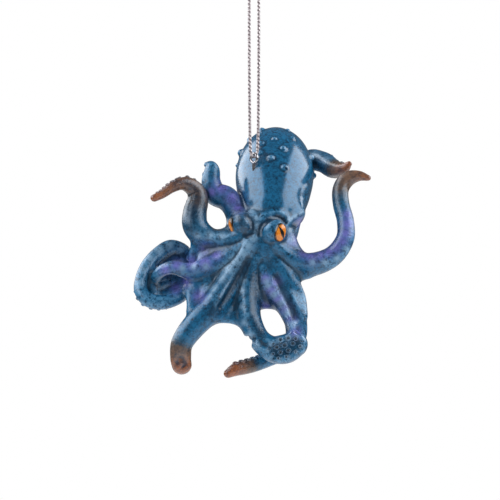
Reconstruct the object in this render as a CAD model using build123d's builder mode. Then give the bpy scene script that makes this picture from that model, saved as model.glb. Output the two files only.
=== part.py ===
from build123d import *
import math
import os

os.makedirs("parts", exist_ok=True)

# Overall size of the octopus without its cord
figure_width = 80.0
figure_height = 85.0
figure_depth = 48.0

# Columns and rows of the photograph that the octopus spans, and where its pin goes in
figure_columns = 236
figure_rows = 251
seat_column = 254
seat_row = 168

# Hanging cord, a loop that ends in a knot above the hook
cord_diameter = 1.0
loop_length = 69.0
loop_spread = 4.6
neck_spread = 4.0
neck_rise = 3.0
gable_drop = 3.0
gable_spread = 1.3
knot_diameter = 3.4
knot_height = 3.9
knot_gap = 1.2
knot_waist_share = 0.86
tail_length = 7.0
tail_lean = 16.0
turn_share = 0.45

# Eye pin that the cord runs through
ring_diameter = 4.1
wire_diameter = 1.0
ring_yaw = 42.0
ring_standoff = 1.2
pin_diameter = 1.3
pin_length = 9.0
pin_point = 1.1
pin_groove_depth = 0.18
pin_groove_pitch = 1.6
pin_grooves = 3
cord_clearance = 0.1
pin_clearance = 0.04

# Mantle, an egg that leans back from the neck
mantle_length = 46.0
mantle_width = 26.6
mantle_lean = 46.0
mantle_roll = 3.0
neck_girth_shares = [(0.0, 0.40), (0.12, 0.68), (0.3, 0.87), (0.43, 0.957), (0.56, 1.0)]
crown_girth_shares = [(0.56, 1.0), (0.7, 0.949), (0.82, 0.812), (0.91, 0.618), (0.97, 0.389), (1.0, 0.149)]
neck_flare = (1, 3)
crown_flare = (-19, 4)

# Head, the arms' hub and the two eye mounds
head_diameter = 19.2
hub_diameter = 31.0
hub_thickness = 14.5
right_mound_diameter = 8.8
left_mound_diameter = 8.2

# Eyes, oval domes let into their mounds
eye_width = 4.4
eye_height = 6.2
eye_thickness = 2.0
eye_rounding = 0.9
eye_proud = 0.9
eye_clearance = 0.05
right_eye_turn = 35.0
left_eye_turn = -72.0
eye_roll = 12.0

# Arms and the square pegs that key them into the body
arm_thickness = 8.8
peg_width = 2.2
peg_clearance = 0.06
peg_reach = 1.2
lee_gap = 0.6
stations_per_span = 2
search_steps = 40
tip_angles = (42, 72)

# Places in the photograph: column, row and share of the depth, from the line of the cord
head_place = (262, 236, 0.0)
neck_place = (272, 229, -0.035)
hub_place = (256, 262, -0.02)
right_mound_place = (273.5, 231, -0.135)
left_mound_place = (243.5, 224, -0.085)

# Each arm from root to tip: column, row, share of the depth, share of the thickness
right_raised_shares = [
    (284, 260, -0.03, 1.00),
    (308, 265, -0.075, 0.92),
    (331, 257, -0.105, 0.80),
    (344, 240, -0.105, 0.71),
    (345, 222, -0.045, 0.66),
    (341, 205, 0.04, 0.64),
    (340.5, 190, 0.10, 0.63),
    (347, 179.5, 0.125, 0.61),
    (358, 176, 0.105, 0.42),
    (368, 178, 0.08, 0.23),
]
rear_right_root_shares = [(280, 246, 0.06, 0.80)]
rear_right_tip_shares = [
    (323, 163.5, 0.56, 0.78),
    (334, 168.5, 0.40, 0.62),
    (343, 169, 0.27, 0.42),
    (349.5, 163.5, 0.21, 0.20),
]
left_raised_shares = [
    (231, 247, 0.02, 1.00),
    (208, 239, 0.0, 0.94),
    (196, 227, -0.02, 0.89),
    (195, 213, 0.02, 0.82),
    (198, 200, 0.04, 0.74),
    (195, 190, 0.04, 0.66),
    (184, 183.5, 0.0, 0.54),
    (173, 187, -0.04, 0.44),
    (163, 194, -0.065, 0.36),
    (155, 198, -0.085, 0.32),
]
rear_left_shares = [
    (248, 230, 0.03, 0.74),
    (237, 209, 0.10, 0.80),
    (227, 197, 0.14, 0.88),
    (215, 192, 0.155, 0.82),
    (211, 181.5, 0.165, 0.66),
    (212, 171, 0.185, 0.50),
    (210.5, 163, 0.20, 0.30),
]
left_coiled_shares = [
    (230, 263, -0.04, 0.96),
    (207, 270.5, -0.095, 0.80),
    (189, 271, -0.125, 0.62),
    (173, 267.5, -0.125, 0.52),
    (161, 272, -0.085, 0.44),
    (154.5, 282, 0.02, 0.40),
    (157, 291.5, 0.085, 0.42),
    (168, 291, 0.125, 0.50),
    (179, 283, 0.17, 0.56),
    (186, 268, 0.21, 0.58),
    (184, 253.5, 0.20, 0.60),
    (171, 247.5, 0.145, 0.60),
    (158.5, 254.5, 0.085, 0.58),
    (148.5, 265, 0.03, 0.54),
    (142.5, 277, -0.02, 0.50),
    (141.5, 290, -0.075, 0.53),
    (149, 299.5, -0.115, 0.56),
    (163, 302, -0.125, 0.57),
    (178, 297.5, -0.095, 0.53),
    (190, 288.5, -0.03, 0.45),
]
left_front_shares = [
    (240, 276, -0.08, 0.94),
    (225, 294, -0.17, 0.97),
    (210, 310, -0.25, 1.00),
    (194, 326, -0.28, 0.94),
    (183, 342, -0.28, 0.84),
    (181.5, 356, -0.27, 0.80),
    (182.5, 363.5, -0.26, 0.76),
]
middle_front_shares = [
    (252, 284, -0.08, 0.82),
    (249, 306, -0.18, 0.88),
    (251, 322, -0.23, 0.86),
    (259, 338, -0.28, 0.84),
    (271, 347, -0.32, 0.86),
    (284, 346.5, -0.35, 0.88),
    (295, 341, -0.355, 0.76),
]
right_front_shares = [
    (276, 280, -0.08, 1.00),
    (289, 303, -0.13, 0.94),
    (295, 320, -0.145, 0.87),
    (295.5, 336, -0.14, 0.80),
    (288, 349, -0.13, 0.68),
    (271, 357, -0.14, 0.60),
    (256, 363, -0.18, 0.57),
    (242, 367, -0.235, 0.51),
    (231, 373, -0.265, 0.32),
]

# Where the rear right arm lies along the back of the mantle: share of its length, turn round it, thickness
lee_shares = [(0.25, 70, 0.80), (0.45, 68, 0.80), (0.65, 62, 0.80), (0.85, 35, 0.80)]

# Heights that follow from the cord: the origin is where the hook holds the loop
wire_radius = wire_diameter / 2
cord_radius = cord_diameter / 2
ring_radius = (ring_diameter - wire_diameter) / 2
turn_radius = wire_radius + cord_radius + cord_clearance
bight_height = -loop_length
wire_height = bight_height + turn_radius
ring_height = wire_height - ring_radius
seat_height = ring_height - ring_diameter / 2 - ring_standoff


# The mantle's axis, and its half width at a share of its length
lean = math.radians(mantle_lean)
roll = math.radians(mantle_roll)
mantle_axis = Vector(math.sin(roll) * math.cos(lean), math.sin(lean), math.cos(roll) * math.cos(lean))
mantle_side = mantle_axis.cross(Vector(0, 1, 0)).normalized()


def mantle_half(along_share):
    shares = neck_girth_shares + crown_girth_shares[1:]
    before = max(entry for entry in shares if entry[0] <= along_share)
    after = min(entry for entry in shares if entry[0] > along_share)
    part = (along_share - before[0]) / (after[0] - before[0])
    return (before[1] + (after[1] - before[1]) * part) * mantle_width / 2


# Turns a place in the photograph into a point, before the body moves forward under its pin
def flat_place(column, row, depth_share):
    right = (column - seat_column) * figure_width / figure_columns
    up = (seat_row - row) * figure_height / figure_rows
    return Vector(right, depth_share * figure_depth, seat_height + up)


# Searches along the line of sight for the mantle's skin at the pin's seat, which then lies on the cord's line
def skin_depth():
    seat = flat_place(seat_column, seat_row, 0) - flat_place(*neck_place)
    outside = -mantle_length
    inside = (seat.X * mantle_axis.X + seat.Z * mantle_axis.Z) * mantle_axis.Y / (1 - mantle_axis.Y**2)
    for step in range(search_steps):
        middle = (outside + inside) / 2
        spot = Vector(seat.X, middle, seat.Z)
        along = spot.dot(mantle_axis)
        buried = along > 0 and (spot - mantle_axis * along).length < mantle_half(along / mantle_length)
        outside, inside = (outside, middle) if buried else (middle, inside)
    return flat_place(*neck_place).Y + inside


body_forward = skin_depth()
print("body forward", round(body_forward, 3))


# Turns a place in the photograph into a point, and a spine into smooth stations along it
def place(column, row, depth_share):
    return flat_place(column, row, depth_share) - Vector(0, body_forward, 0)


def blend(before, start, end, after, share):
    pull = (end - before) * share
    bend = (before * 2 - start * 5 + end * 4 - after) * share**2
    ease = (start * 3 - before - end * 3 + after) * share**3
    return (start * 2 + pull + bend + ease) / 2


def spine(shares):
    return [(place(column, row, depth), girth * arm_thickness / 2) for column, row, depth, girth in shares]


def stations(spots):
    points = [point for point, girth in spots]
    girths = [girth for point, girth in spots]
    points = [points[0] * 2 - points[1]] + points + [points[-1] * 2 - points[-2]]
    girths = [girths[0]] + girths + [girths[-1]]
    found = []
    for span in range(1, len(points) - 2):
        for step in range(stations_per_span):
            share = step / stations_per_span
            point = blend(*points[span - 1 : span + 3], share)
            girth = blend(*girths[span - 1 : span + 3], share)
            found.append((point, girth))
    found.append((points[-2], girths[-2]))
    return found


def sections(spots):
    line = stations(spots)
    across = Vector(0, 1, 0)
    planes = []
    for index, (point, radius) in enumerate(line):
        ahead = line[min(index + 1, len(line) - 1)][0]
        behind = line[max(index - 1, 0)][0]
        along = (ahead - behind).normalized()
        across = (across - along * across.dot(along)).normalized()
        planes.append((Plane(point, x_dir=across, z_dir=along), radius))
    last, radius = planes[-1]
    for angle in tip_angles:
        reach = radius * math.sin(math.radians(angle))
        planes.append((last.offset(reach), radius * math.cos(math.radians(angle))))
    return planes


# Body casting before its sockets: mantle, head, hub and eye mounds in one piece
neck = place(*neck_place)
mantle_plane = Plane(neck, x_dir=mantle_side, z_dir=mantle_side.cross(mantle_axis))
hub_flat = (hub_diameter - hub_thickness) / 2
hub_half = hub_thickness / 2
neck_outline = [(girth * mantle_width / 2, share * mantle_length) for share, girth in neck_girth_shares]
crown_outline = [(girth * mantle_width / 2, share * mantle_length) for share, girth in crown_girth_shares]

with BuildPart() as core:
    with BuildSketch(mantle_plane):
        with BuildLine():
            Spline(*neck_outline, tangents=(neck_flare, (0, 1)))
            Spline(*crown_outline, tangents=((0, 1), crown_flare))
            Polyline(crown_outline[-1], (0, mantle_length), (0, 0), neck_outline[0])
        make_face()
    revolve(axis=Axis(neck, -mantle_axis))
    with Locations(place(*head_place)):
        Sphere(head_diameter / 2)
    with BuildSketch(Plane(place(*hub_place))):
        with BuildLine():
            Line((0, -hub_half), (hub_flat, -hub_half))
            ThreePointArc((hub_flat, -hub_half), (hub_diameter / 2, 0), (hub_flat, hub_half))
            Polyline((hub_flat, hub_half), (0, hub_half), (0, -hub_half))
        make_face()
    revolve(axis=Axis(place(*hub_place), (0, -1, 0)))
    with Locations(place(*right_mound_place)):
        Sphere(right_mound_diameter / 2)
    with Locations(place(*left_mound_place)):
        Sphere(left_mound_diameter / 2)


# The rear right arm keeps clear of the mantle by a gap, whatever the mantle's size
def lee_spot(along_share, turn, girth_share):
    radius = girth_share * arm_thickness / 2
    angle = math.radians(turn)
    away = mantle_side * -math.cos(angle) + mantle_side.cross(mantle_axis) * math.sin(angle)
    centre = neck + mantle_axis * (along_share * mantle_length)
    return centre + away * (mantle_half(along_share) + radius + lee_gap), radius


# Arms, and the sockets, pockets and pin's bore that take them, each with a clearance
lee_spots = [lee_spot(*entry) for entry in lee_shares]
arms = {
    "right_raised_arm": spine(right_raised_shares),
    "rear_right_arm": spine(rear_right_root_shares) + lee_spots + spine(rear_right_tip_shares),
    "left_raised_arm": spine(left_raised_shares),
    "rear_left_arm": spine(rear_left_shares),
    "left_coiled_arm": spine(left_coiled_shares),
    "left_front_arm": spine(left_front_shares),
    "middle_front_arm": spine(middle_front_shares),
    "right_front_arm": spine(right_front_shares),
}


# A peg runs from the arm's root to the first place on its line that is clear of the body's skin
def peg(spots):
    root = spots[0][0]
    skin = core.part.solid()
    run = next(point for point, girth in stations(spots)[1:] if not skin.is_inside(point)) - root
    return Plane(root, z_dir=run), run.length + peg_reach


pegs = {name: peg(spots) for name, spots in arms.items()}


def eye_plane(mound_place, mound_diameter, turn):
    angle = math.radians(turn)
    gaze = Vector(math.sin(angle), -math.cos(angle), 0)
    face = Plane(place(*mound_place), x_dir=(math.cos(angle), math.sin(angle), 0), z_dir=gaze)
    return face.rotated((0, 0, -eye_roll)).offset(mound_diameter / 2 + eye_proud - eye_thickness)


eyes = {
    "right_eye": eye_plane(right_mound_place, right_mound_diameter, right_eye_turn),
    "left_eye": eye_plane(left_mound_place, left_mound_diameter, left_eye_turn),
}

with BuildPart() as body:
    add(core.part)
    for plane, length in pegs.values():
        with BuildSketch(plane.offset(-peg_clearance)):
            Rectangle(peg_width + 2 * peg_clearance, peg_width + 2 * peg_clearance)
        extrude(amount=length, mode=Mode.SUBTRACT)
    for plane in eyes.values():
        with BuildSketch(plane):
            Ellipse(eye_width / 2 + eye_clearance, eye_height / 2 + eye_clearance)
        extrude(amount=eye_thickness * 2, mode=Mode.SUBTRACT)
    with BuildSketch(Plane.XY.offset(ring_height)):
        Circle(pin_diameter / 2 + pin_clearance)
    extrude(amount=-(ring_diameter / 2 + pin_length + pin_clearance), mode=Mode.SUBTRACT)
body.part.label = "body_casting"
export_step(body.part, "parts/body_casting.step")
print("body_casting", round(body.part.volume, 1), body.part.is_valid, len(body.part.solids()))

# Arms, each ending on the body's skin with a peg that goes on into its socket
for name, spots in arms.items():
    with BuildPart() as arm:
        for plane, radius in sections(spots):
            with BuildSketch(plane):
                Circle(radius)
        loft()
        add(core.part, mode=Mode.SUBTRACT)
        keep = arm.part.solids().sort_by(SortBy.VOLUME)[-1]
    with BuildPart() as pegged:
        add(keep)
        with BuildSketch(pegs[name][0]):
            Rectangle(peg_width, peg_width)
        extrude(amount=pegs[name][1])
    pegged.part.label = name
    export_step(pegged.part, f"parts/{name}.step")
    print(name, round(pegged.part.volume, 1), pegged.part.is_valid, len(pegged.part.solids()))

# Eyes
for name, plane in eyes.items():
    with BuildPart() as eye:
        with BuildSketch(plane):
            Ellipse(eye_width / 2, eye_height / 2)
        extrude(amount=eye_thickness)
        fillet(eye.faces().sort_by(Axis(plane.origin, plane.z_dir))[-1].edges(), eye_rounding)
    eye.part.label = name
    export_step(eye.part, f"parts/{name}.step")
    print(name, round(eye.part.volume, 2), eye.part.is_valid, len(eye.part.solids()))

# Eye pin: a ring on a grooved and pointed shank
swing_axis = Vector(math.cos(math.radians(ring_yaw)), math.sin(math.radians(ring_yaw)), 0)
ring_plane = Plane((0, 0, ring_height), x_dir=swing_axis, z_dir=swing_axis.cross(Vector(0, 0, 1)))
shank_top = -ring_radius - wire_radius / 2
shank_end = -ring_diameter / 2 - pin_length
groove_start = shank_end + pin_point + pin_groove_pitch
with BuildPart() as pin:
    with BuildSketch(ring_plane):
        with Locations((0, ring_radius)):
            Circle(wire_radius)
    revolve(axis=Axis((0, 0, ring_height), swing_axis))
    with BuildSketch(ring_plane):
        with BuildLine():
            Polyline(
                (0, shank_top),
                (pin_diameter / 2, shank_top),
                (pin_diameter / 2, shank_end + pin_point),
                (0, shank_end),
                close=True,
            )
        make_face()
    revolve(axis=Axis((0, 0, ring_height), (0, 0, -1)))
    with BuildSketch(ring_plane):
        for groove in range(pin_grooves):
            with Locations((pin_diameter / 2, groove_start + groove * pin_groove_pitch)):
                Circle(pin_groove_depth)
    revolve(axis=Axis((0, 0, ring_height), (0, 0, -1)), mode=Mode.SUBTRACT)
pin.part.label = "eye_pin"
export_step(pin.part, "parts/eye_pin.step")
print("eye_pin", round(pin.part.volume, 2), pin.part.is_valid, len(pin.part.solids()))

# Cord: one loop from the knot down, round the pin's ring and back up to the knot
cord_plane = Plane((0, 0, 0), x_dir=swing_axis, z_dir=swing_axis.cross(Vector(0, 0, 1)))
half_route = [
    (gable_spread / 2, knot_gap),
    (gable_spread / 2, 0),
    (loop_spread / 2, -gable_drop),
    (neck_spread / 2, wire_height + neck_rise),
    (turn_radius, bight_height),
]
route = half_route + [(-across, height) for across, height in reversed(half_route)]


def corner_radius(before, corner, after):
    first = math.hypot(corner[0] - before[0], corner[1] - before[1])
    second = math.hypot(after[0] - corner[0], after[1] - corner[1])
    turn = math.atan2(corner[0] - before[0], corner[1] - before[1])
    turn -= math.atan2(after[0] - corner[0], after[1] - corner[1])
    turn = abs((turn + math.pi) % (2 * math.pi) - math.pi)
    return turn_share * min(first, second) / math.tan(turn / 2)


radii = [corner_radius(*route[index : index + 3]) for index in range(len(route) - 2)]
print("cord corner radii", [round(radius, 2) for radius in radii])
with BuildPart() as cord:
    with BuildLine(cord_plane) as cord_line:
        FilletPolyline(*route, radius=radii)
    with BuildSketch(Plane(cord_plane.from_local_coords(route[0]))):
        Circle(cord_radius)
    sweep()
cord.part.label = "cord_loop"
export_step(cord.part, "parts/cord_loop.step")
cord_length = sum(edge.length for edge in cord_line.edges())
section_volume = cord_length * math.pi * cord_radius**2
print("cord_loop", round(cord.part.volume, 2), round(section_volume, 2), cord.part.is_valid)
print("cord length", round(cord_length, 1))

# Knot, a barrel of wraps with the cord's two tails above it
with BuildPart() as knot:
    with BuildSketch(Plane.XZ):
        with BuildLine():
            Line((0, knot_gap), (knot_diameter / 2 * knot_waist_share, knot_gap))
            RadiusArc(
                (knot_diameter / 2 * knot_waist_share, knot_gap),
                (knot_diameter / 2 * knot_waist_share, knot_gap + knot_height),
                -knot_height,
            )
            Polyline(
                (knot_diameter / 2 * knot_waist_share, knot_gap + knot_height),
                (0, knot_gap + knot_height),
                (0, knot_gap),
            )
        make_face()
    revolve(axis=Axis((0, 0, 0), (0, 0, -1)))
    for side in (-1, 1):
        foot = swing_axis * (side * gable_spread / 2) + Vector(0, 0, knot_gap + knot_height - cord_radius)
        lean_way = swing_axis * (side * math.tan(math.radians(tail_lean))) + Vector(0, 0, 1)
        with BuildSketch(Plane(foot, z_dir=lean_way)):
            Circle(cord_radius)
        extrude(amount=tail_length)
knot.part.label = "cord_knot"
export_step(knot.part, "parts/cord_knot.step")
print("cord_knot", round(knot.part.volume, 2), knot.part.is_valid, len(knot.part.solids()))
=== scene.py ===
import math

import bpy
import numpy as np
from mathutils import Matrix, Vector


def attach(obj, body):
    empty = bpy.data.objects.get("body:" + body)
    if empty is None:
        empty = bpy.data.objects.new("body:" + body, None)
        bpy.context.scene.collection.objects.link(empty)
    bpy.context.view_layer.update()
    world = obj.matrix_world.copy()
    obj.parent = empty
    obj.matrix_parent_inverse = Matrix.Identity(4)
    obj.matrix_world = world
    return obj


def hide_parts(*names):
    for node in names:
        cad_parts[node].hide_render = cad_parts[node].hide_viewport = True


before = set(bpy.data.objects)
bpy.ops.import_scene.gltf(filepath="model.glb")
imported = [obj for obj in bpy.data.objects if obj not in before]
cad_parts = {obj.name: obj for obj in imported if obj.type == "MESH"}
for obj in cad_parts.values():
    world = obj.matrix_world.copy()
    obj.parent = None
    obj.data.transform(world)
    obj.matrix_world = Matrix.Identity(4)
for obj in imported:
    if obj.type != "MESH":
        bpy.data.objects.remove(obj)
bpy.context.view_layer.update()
scene = bpy.context.scene
scene.view_settings.view_transform = "Standard"
print("frame loaded")

# How the casting was laid out: a place is a column and row of the photograph and a share of the depth, in mm
figure = {
    "width": 80.0, "columns": 236, "height": 85.0, "rows": 251, "depth": 48.0, "forward": 4.606,
    "seatColumn": 254, "seatRow": 168, "seatHeight": -72.7, "armRadius": 4.4, "thinnest": 0.6,
    "sideTurn": (0.25, 0.9),
}
metre = 0.001


def place(column, row, depth):
    across = (column - figure["seatColumn"]) * figure["width"] / figure["columns"]
    up = (figure["seatRow"] - row) * figure["height"] / figure["rows"]
    return np.array([across, depth * figure["depth"] - figure["forward"], figure["seatHeight"] + up])


def unit(vector):
    return np.asarray(vector, float) / np.linalg.norm(vector)


def ease(value, start, end):
    share = np.clip((value - start) / (end - start), 0, 1)
    return share * share * (3 - 2 * share)


# How far along a straight run each point lies, and its distance from the run
def nearest(points, begin, end):
    run = end - begin
    along = np.clip((points - begin) @ run / (run @ run), 0, 1)
    return along, np.linalg.norm(points - begin - along[..., None] * run, axis=-1)


def addObject(name, data):
    made = bpy.data.objects.new(name, data)
    scene.collection.objects.link(made)
    return made


# Camera at the photograph's angle: level, long lens, 500 pixels to 169 mm at the ornament
cameraRig = {"distance": 1.5, "across": 0.1694, "aim": (-0.00136, 0.0, -0.1005), "sensor": 36.0}


def setCamera():
    data = bpy.data.cameras.new("photoCamera")
    data.sensor_width = cameraRig["sensor"]
    data.lens = cameraRig["sensor"] * cameraRig["distance"] / cameraRig["across"]
    camera = addObject("photoCamera", data)
    camera.location = Vector(cameraRig["aim"]) - Vector((0, cameraRig["distance"], 0))
    camera.rotation_euler = (math.radians(90), 0, 0)
    scene.camera = camera


setCamera()
print("camera set")


def feed(tree, node, inputs):
    for key, value in inputs.items():
        if isinstance(value, bpy.types.NodeSocket):
            tree.links.new(value, node.inputs[key])
        else:
            node.inputs[key].default_value = value


def addNode(tree, kind, inputs=None, **settings):
    node = tree.nodes.new(kind)
    for name, value in settings.items():
        setattr(node, name, value)
    feed(tree, node, inputs or {})
    return node


def paint(red, green, blue):  # a colour as the eye reads it, 0 to 255
    def straight(value):
        value = value / 255
        return value / 12.92 if value <= 0.04045 else ((value + 0.055) / 1.055) ** 2.4
    return (straight(red), straight(green), straight(blue), 1.0)


def newMaterial(name):
    material = bpy.data.materials.new(name)
    material.use_nodes = True
    return material, material.node_tree, material.node_tree.nodes["Principled BSDF"]


def mixColour(tree, amount, first, second):
    return addNode(tree, "ShaderNodeMix", {0: amount, 6: first, 7: second}, data_type="RGBA").outputs[2]


def maths(tree, way, *values):
    return addNode(tree, "ShaderNodeMath", dict(enumerate(values)), operation=way).outputs[0]


def noise(tree, where, scale, detail, roughness=0.5):
    inputs = {"Vector": where, "Scale": scale, "Detail": detail, "Roughness": roughness}
    return addNode(tree, "ShaderNodeTexNoise", inputs).outputs[0]


def bump(tree, height, strength, distance, **more):
    inputs = {"Height": height, "Strength": strength, "Distance": distance, **more}
    return addNode(tree, "ShaderNodeBump", inputs).outputs[0]


def remap(tree, value, low, high):
    return addNode(tree, "ShaderNodeMapRange", {"Value": value, "To Min": low, "To Max": high}).outputs[0]


def ramp(tree, value, stops):
    node = addNode(tree, "ShaderNodeValToRGB", {"Fac": value})
    while len(node.color_ramp.elements) < len(stops):
        node.color_ramp.elements.new(0.5)
    for element, (position, colour) in zip(node.color_ramp.elements, stops):
        element.position = position
        element.color = colour
    return node.outputs["Color"]


def fade(tree, value, stops):  # stops: a start and its level, an end and its level
    return ramp(tree, value, [(spot, (level, level, level, 1.0)) for spot, level in (stops[:2], stops[2:])])


# Painted resin: navy speckle over teal, pale dry brush with painted highlights, violet ridges, a glaze that
# is mostly painted highlight, brown tips, dark wash with painted shade in creases, ink that is painted shade,
# and lacquer.
# The noises are scale, detail and roughness.
skinPaint = {
    "navy": paint(4, 38, 62), "teal": paint(10, 98, 142), "steel": paint(92, 148, 188),
    # glaze is mostly a painted highlight colour, ink a painted shade colour, wash both dark wash and painted
    # shade
    "violet": paint(122, 110, 202), "glazeAndHighlight": paint(134, 170, 200), "paintedShade": paint(0, 28, 52),
    "washAndShade": paint(5, 30, 48), "slate": paint(40, 62, 68), "tan": paint(126, 96, 76),
    "rust": paint(160, 96, 58), "rim": paint(140, 158, 180),
    "speckle": (1500.0, 3.0, 0.6), "mottle": (560.0, 5.0, 0.7), "cloud": (110.0, 3.0, 0.5),
    "mottleShare": 0.55, "spotFade": (0.36, 1.0, 0.55, 0.0), "lightFade": (0.42, 0.0, 0.58, 1.0),
    "violetFade": (0.36, 0.35, 0.56, 1.0), "glazeAndHighlightFade": (0.36, 0.3, 0.5, 1.0),
    "tipFade": (0.08, 0.0, 0.34, 1.0), "paintedShadeFade": (0.42, 1.0, 0.64, 0.6), "tipStops": (0.15, 0.55, 0.9),
    "tipMottle": 0.35, "tipSpots": 0.75, "cloudPale": 0.12, "washAndShadeShare": 0.7,
    "rimShare": 0.2, "wellShadeShare": 0.85, "roughness": (0.14, 0.26), "armRoughness": 0.04, "shadeRoughness": 0.07,
    "sheen": (0.62, 0.80, 1.0, 1.0), "specular": 0.8, "coat": 0.3, "coatRoughness": 0.04, "metallic": 0.05,
    "grain": 0.12, "armGrain": 0.5, "grainHeight": 0.0004, "lacquer": (0.12, 0.001),
}


def makeSkinPaint(name, rim=False):
    look = skinPaint
    material, tree, shader = newMaterial(name)
    where = addNode(tree, "ShaderNodeTexCoord").outputs["Object"]
    speckle, mottle, cloud = [noise(tree, where, *look[key]) for key in ("speckle", "mottle", "cloud")]

    def layer(attribute):
        return addNode(tree, "ShaderNodeAttribute", attribute_name=attribute).outputs["Fac"]

    def times(first, second):
        return maths(tree, "MULTIPLY", first, second)

    def plus(first, second):
        return maths(tree, "ADD", first, second)

    broken = plus(times(mottle, look["mottleShare"]), times(speckle, 1 - look["mottleShare"]))
    spots = fade(tree, broken, look["spotFade"])
    dryBrushAndHighlight = plus(layer("dryBrushAndHighlight"), times(cloud, look["cloudPale"]))
    tip = plus(layer("tip"), times(maths(tree, "SUBTRACT", mottle, 0.5), look["tipMottle"]))
    tipColour = ramp(tree, tip, list(zip(look["tipStops"], (look["slate"], look["tan"], look["rust"]))))
    tipColour = mixColour(tree, times(spots, look["tipSpots"]), tipColour, look["washAndShade"])
    # The pale coat is dry brush and painted highlight, the glaze coat mostly painted highlight, the wash coat
    # dark wash and painted crease shade, and the ink coat painted shade
    coats = [(spots, look["navy"]), (times(dryBrushAndHighlight, fade(tree, broken, look["lightFade"])), look["steel"]),
             (times(layer("violet"), fade(tree, broken, look["violetFade"])), look["violet"]),
             (times(layer("glazeAndHighlight"), fade(tree, broken, look["glazeAndHighlightFade"])), look["glazeAndHighlight"]),
             (fade(tree, tip, look["tipFade"]), tipColour),
             (times(layer("washAndShade"), look["washAndShadeShare"]), look["washAndShade"]),
             (times(layer("paintedShade"), fade(tree, broken, look["paintedShadeFade"])), look["paintedShade"])]
    if rim:
        # The dark well in each cup is painted shade in its hollow
        coats += [(look["rimShare"], look["rim"]), (times(layer("wellShade"), look["wellShadeShare"]), look["washAndShade"])]
    colour = look["teal"]
    for share, coat in coats:
        colour = mixColour(tree, share, colour, coat)
    rough = plus(remap(tree, mottle, *look["roughness"]), times(layer("matte"), look["armRoughness"]))
    rough = plus(rough, times(maths(tree, "MAXIMUM", layer("paintedShade"), layer("washAndShade")), look["shadeRoughness"]))
    grit = plus(times(layer("matte"), look["armGrain"]), look["grain"])
    grain = bump(tree, broken, grit, look["grainHeight"])
    feed(tree, shader, {
        "Base Color": colour, "Roughness": rough, "Metallic": look["metallic"],
        "Specular IOR Level": look["specular"], "Specular Tint": look["sheen"],
        "Coat Weight": look["coat"], "Coat Roughness": look["coatRoughness"],
        "Normal": grain, "Coat Normal": bump(tree, cloud, *look["lacquer"], Normal=grain)})
    return material


skinMaterial = makeSkinPaint("paintedResin")
suckerMaterial = makeSkinPaint("suckerPaint", rim=True)


# Orange eye: dark rim, streaked iris and a slit, drawn on the dome's own map
eyePaint = {
    "amber": paint(246, 156, 34), "ember": paint(206, 98, 20), "rim": paint(30, 26, 24),
    "slit": paint(12, 12, 16), "slitTurn": -48.0, "slitWidth": 0.33, "streak": (14.0, 4.0),
    "irisFade": (0.38, 0.0, 0.66, 1.0), "rimFade": (0.40, 0.0, 0.47, 1.0),
    "roughness": 0.25, "coat": 1.0, "coatRoughness": 0.03, "grain": (0.08, 0.0002),
}


def makeEyePaint():
    look = eyePaint
    material, tree, shader = newMaterial("eyeEnamel")
    chart = addNode(tree, "ShaderNodeUVMap", uv_map="dome").outputs[0]
    centred = addNode(tree, "ShaderNodeMapping", {"Vector": chart, "Location": (-0.5, -0.5, 0)}).outputs[0]
    turn = {"Vector": centred, "Angle": math.radians(look["slitTurn"])}
    turned = addNode(tree, "ShaderNodeVectorRotate", turn, rotation_type="Z_AXIS").outputs[0]
    along = addNode(tree, "ShaderNodeSeparateXYZ", {0: turned}).outputs["X"]
    away = addNode(tree, "ShaderNodeVectorMath", {0: centred}, operation="LENGTH").outputs["Value"]
    streak = noise(tree, turned, *look["streak"])
    iris = mixColour(tree, fade(tree, streak, look["irisFade"]), look["amber"], look["ember"])
    iris = mixColour(tree, fade(tree, away, look["rimFade"]), iris, look["rim"])
    width = maths(tree, "MULTIPLY", maths(tree, "SUBTRACT", 0.5, away), look["slitWidth"])
    slit = maths(tree, "LESS_THAN", maths(tree, "ABSOLUTE", along), width)
    iris = mixColour(tree, slit, iris, look["slit"])
    feed(tree, shader, {
        "Base Color": iris, "Roughness": look["roughness"], "Coat Weight": look["coat"],
        "Coat Roughness": look["coatRoughness"], "Normal": bump(tree, streak, *look["grain"])})
    return material


# Bright steel for the pin and silver thread for the cord, with painted shade in slanting bands along its lay
metals = {
    "pinSteel": {"tones": (paint(206, 206, 210), paint(150, 150, 158)), "wear": (900.0, 4.0),
                 "roughness": (0.08, 0.3), "metallic": 1.0},
    "silverThread": {"tones": (paint(240, 234, 236), paint(190, 180, 184)), "wear": (2600.0, 4.0),
                     "roughness": (0.3, 0.5), "metallic": 0.6, "layLength": 0.0013, "laySlant": 2600.0,
                     "layShade": paint(118, 104, 110)},
    "wearFade": (0.35, 0.0, 0.65, 1.0), "layFade": (0.45, 0.0, 0.95, 1.0), "grain": (0.1, 0.0001),
}


def makeMetal(name):
    look = metals[name]
    material, tree, shader = newMaterial(name)
    where = addNode(tree, "ShaderNodeTexCoord").outputs["Object"]
    wear = noise(tree, where, *look["wear"])
    colour = mixColour(tree, fade(tree, wear, metals["wearFade"]), *look["tones"])
    # The lay's dark slanting bands are painted shade between the strands
    if "layLength" in look:
        lay = (look["laySlant"], look["laySlant"], 2 * math.pi / look["layLength"])
        plait = addNode(tree, "ShaderNodeVectorMath", {0: where, 1: lay}, operation="DOT_PRODUCT")
        shade = maths(tree, "MULTIPLY_ADD", maths(tree, "SINE", plait.outputs["Value"]), 0.5, 0.5)
        colour = mixColour(tree, fade(tree, shade, metals["layFade"]), colour, look["layShade"])
    feed(tree, shader, {
        "Base Color": colour, "Roughness": remap(tree, wear, *look["roughness"]),
        "Metallic": look["metallic"], "Normal": bump(tree, wear, *metals["grain"])})
    return material


eyeMaterial = makeEyePaint()
pinMaterial, cordMaterial = makeMetal("pinSteel"), makeMetal("silverThread")
print("materials made")


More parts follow.
